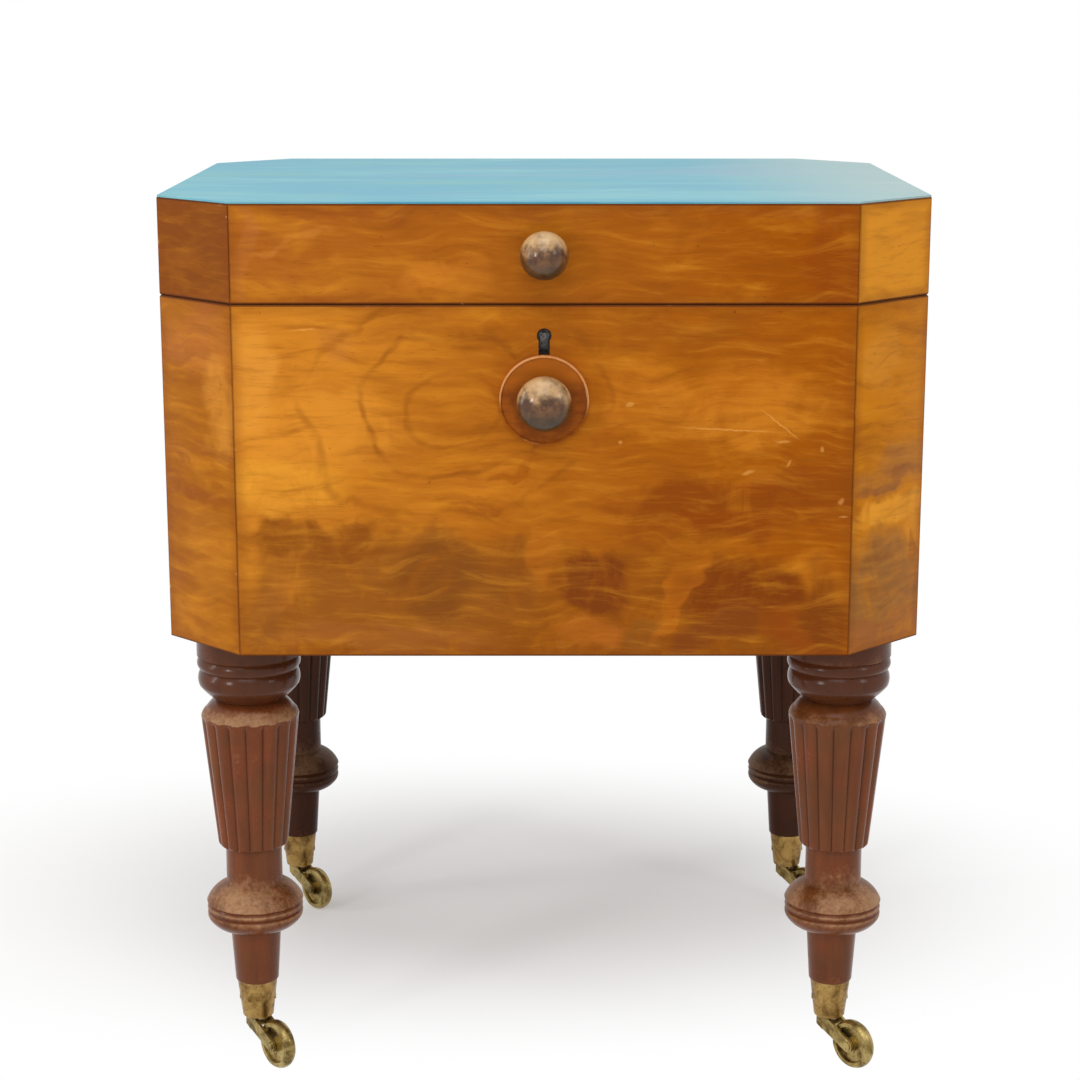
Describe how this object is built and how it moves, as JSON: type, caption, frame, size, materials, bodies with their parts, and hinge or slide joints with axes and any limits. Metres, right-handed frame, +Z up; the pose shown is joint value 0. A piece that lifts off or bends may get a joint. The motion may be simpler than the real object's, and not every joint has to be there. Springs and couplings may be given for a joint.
{
  "type": "cellarette",
  "caption": "Free-standing box with canted corners and a hinged, lockable lid, fitted inside for bottles, on turned and reeded legs with swivelling brass castors.",
  "frame": {"origin": "on the floor, under the middle of the box", "axes": "+X to the right across the front, the front faces -Y, +Z up"},
  "size_m": [0.502, 0.4463, 0.5998],
  "materials": {
    "golden_mahogany": "polished, figured veneer on solid boards",
    "turned_mahogany": "polished, dark, with worn edges",
    "inner_wood": "plain, unpolished",
    "lid_covering": "pale blue, streaked, with a low sheen",
    "brass": "aged, with brown patina",
    "lock_steel": "dull, oiled",
    "lead": "dull grey sheet lead"
  },
  "bodies": {
    "carcase": {"carcase_front": "golden_mahogany", "carcase_cant_front_right": "golden_mahogany", "carcase_right": "golden_mahogany", "carcase_cant_back_right": "golden_mahogany", "carcase_back": "golden_mahogany", "carcase_cant_back_left": "golden_mahogany", "carcase_left": "golden_mahogany", "carcase_cant_front_left": "golden_mahogany", "carcase_bottom": "inner_wood", "body_knob": "turned_mahogany", "body_knob_rose": "turned_mahogany", "keyhole_escutcheon": "brass", "hinge_lower_leaves": "brass", "hinge_pins": "brass", "carcase_screws": "brass", "castor_cup_screws": "brass", "lock_case": "lock_steel", "liner_floor": "lead", "liner_walls": "lead", "divider_long_1": "inner_wood", "divider_long_2": "inner_wood", "divider_cross_1": "inner_wood", "divider_cross_2": "inner_wood", "divider_cross_3": "inner_wood", "leg_front_left": "turned_mahogany", "castor_cup_front_left": "brass", "leg_front_right": "turned_mahogany", "castor_cup_front_right": "brass", "leg_back_left": "turned_mahogany", "castor_cup_back_left": "brass", "leg_back_right": "turned_mahogany", "castor_cup_back_right": "brass"},
    "lid": {"lid_front": "golden_mahogany", "lid_cant_front_right": "golden_mahogany", "lid_right": "golden_mahogany", "lid_cant_back_right": "golden_mahogany", "lid_back": "golden_mahogany", "lid_cant_back_left": "golden_mahogany", "lid_left": "golden_mahogany", "lid_cant_front_left": "golden_mahogany", "lid_board": "inner_wood", "lid_covering": "lid_covering", "lid_knob": "turned_mahogany", "lock_link_plate": "brass", "hinge_upper_leaves": "brass", "lid_screws": "brass"},
    "lock_bolt": {"lock_bolt": "lock_steel"},
    "castor_front_left": {"castor_fork_front_left": "brass", "castor_axle_front_left": "brass"},
    "wheel_front_left": {"castor_wheel_front_left": "brass"},
    "castor_front_right": {"castor_fork_front_right": "brass", "castor_axle_front_right": "brass"},
    "wheel_front_right": {"castor_wheel_front_right": "brass"},
    "castor_back_left": {"castor_fork_back_left": "brass", "castor_axle_back_left": "brass"},
    "wheel_back_left": {"castor_wheel_back_left": "brass"},
    "castor_back_right": {"castor_fork_back_right": "brass", "castor_axle_back_right": "brass"},
    "wheel_back_right": {"castor_wheel_back_right": "brass"}
  },
  "joints": [
    {"name": "lid_hinge", "type": "hinge", "parent": "carcase", "child": "lid", "pos_m": [0, 0.2071, 0.5352], "axis": [-1, 0, 0], "range_deg": [0, 95]},
    {"name": "lock_bolt_slide", "type": "slide", "parent": "carcase", "child": "lock_bolt", "axis": [1, 0, 0], "range_m": [0, 0.008]},
    {"name": "castor_swivel_front_left", "type": "hinge", "parent": "carcase", "child": "castor_front_left", "pos_m": [-0.1993, -0.15, 0.031], "axis": [0, 0, 1], "continuous": true},
    {"name": "wheel_spin_front_left", "type": "hinge", "parent": "castor_front_left", "child": "wheel_front_left", "pos_m": [-0.1842, -0.16761, 0.017], "axis": [0.7593, 0.6508, 0], "continuous": true},
    {"name": "castor_swivel_front_right", "type": "hinge", "parent": "carcase", "child": "castor_front_right", "pos_m": [0.1993, -0.15, 0.031], "axis": [0, 0, 1], "continuous": true},
    {"name": "wheel_spin_front_right", "type": "hinge", "parent": "castor_front_right", "child": "wheel_front_right", "pos_m": [0.2144, -0.16761, 0.017], "axis": [0.7593, 0.6508, 0], "continuous": true},
    {"name": "castor_swivel_back_left", "type": "hinge", "parent": "carcase", "child": "castor_back_left", "pos_m": [-0.1993, 0.15, 0.031], "axis": [0, 0, 1], "continuous": true},
    {"name": "wheel_spin_back_left", "type": "hinge", "parent": "castor_back_left", "child": "wheel_back_left", "pos_m": [-0.1842, 0.13239, 0.017], "axis": [0.7593, 0.6508, 0], "continuous": true},
    {"name": "castor_swivel_back_right", "type": "hinge", "parent": "carcase", "child": "castor_back_right", "pos_m": [0.1993, 0.15, 0.031], "axis": [0, 0, 1], "continuous": true},
    {"name": "wheel_spin_back_right", "type": "hinge", "parent": "castor_back_right", "child": "wheel_back_right", "pos_m": [0.2144, 0.13239, 0.017], "axis": [0.7593, 0.6508, 0], "continuous": true}
  ]
}
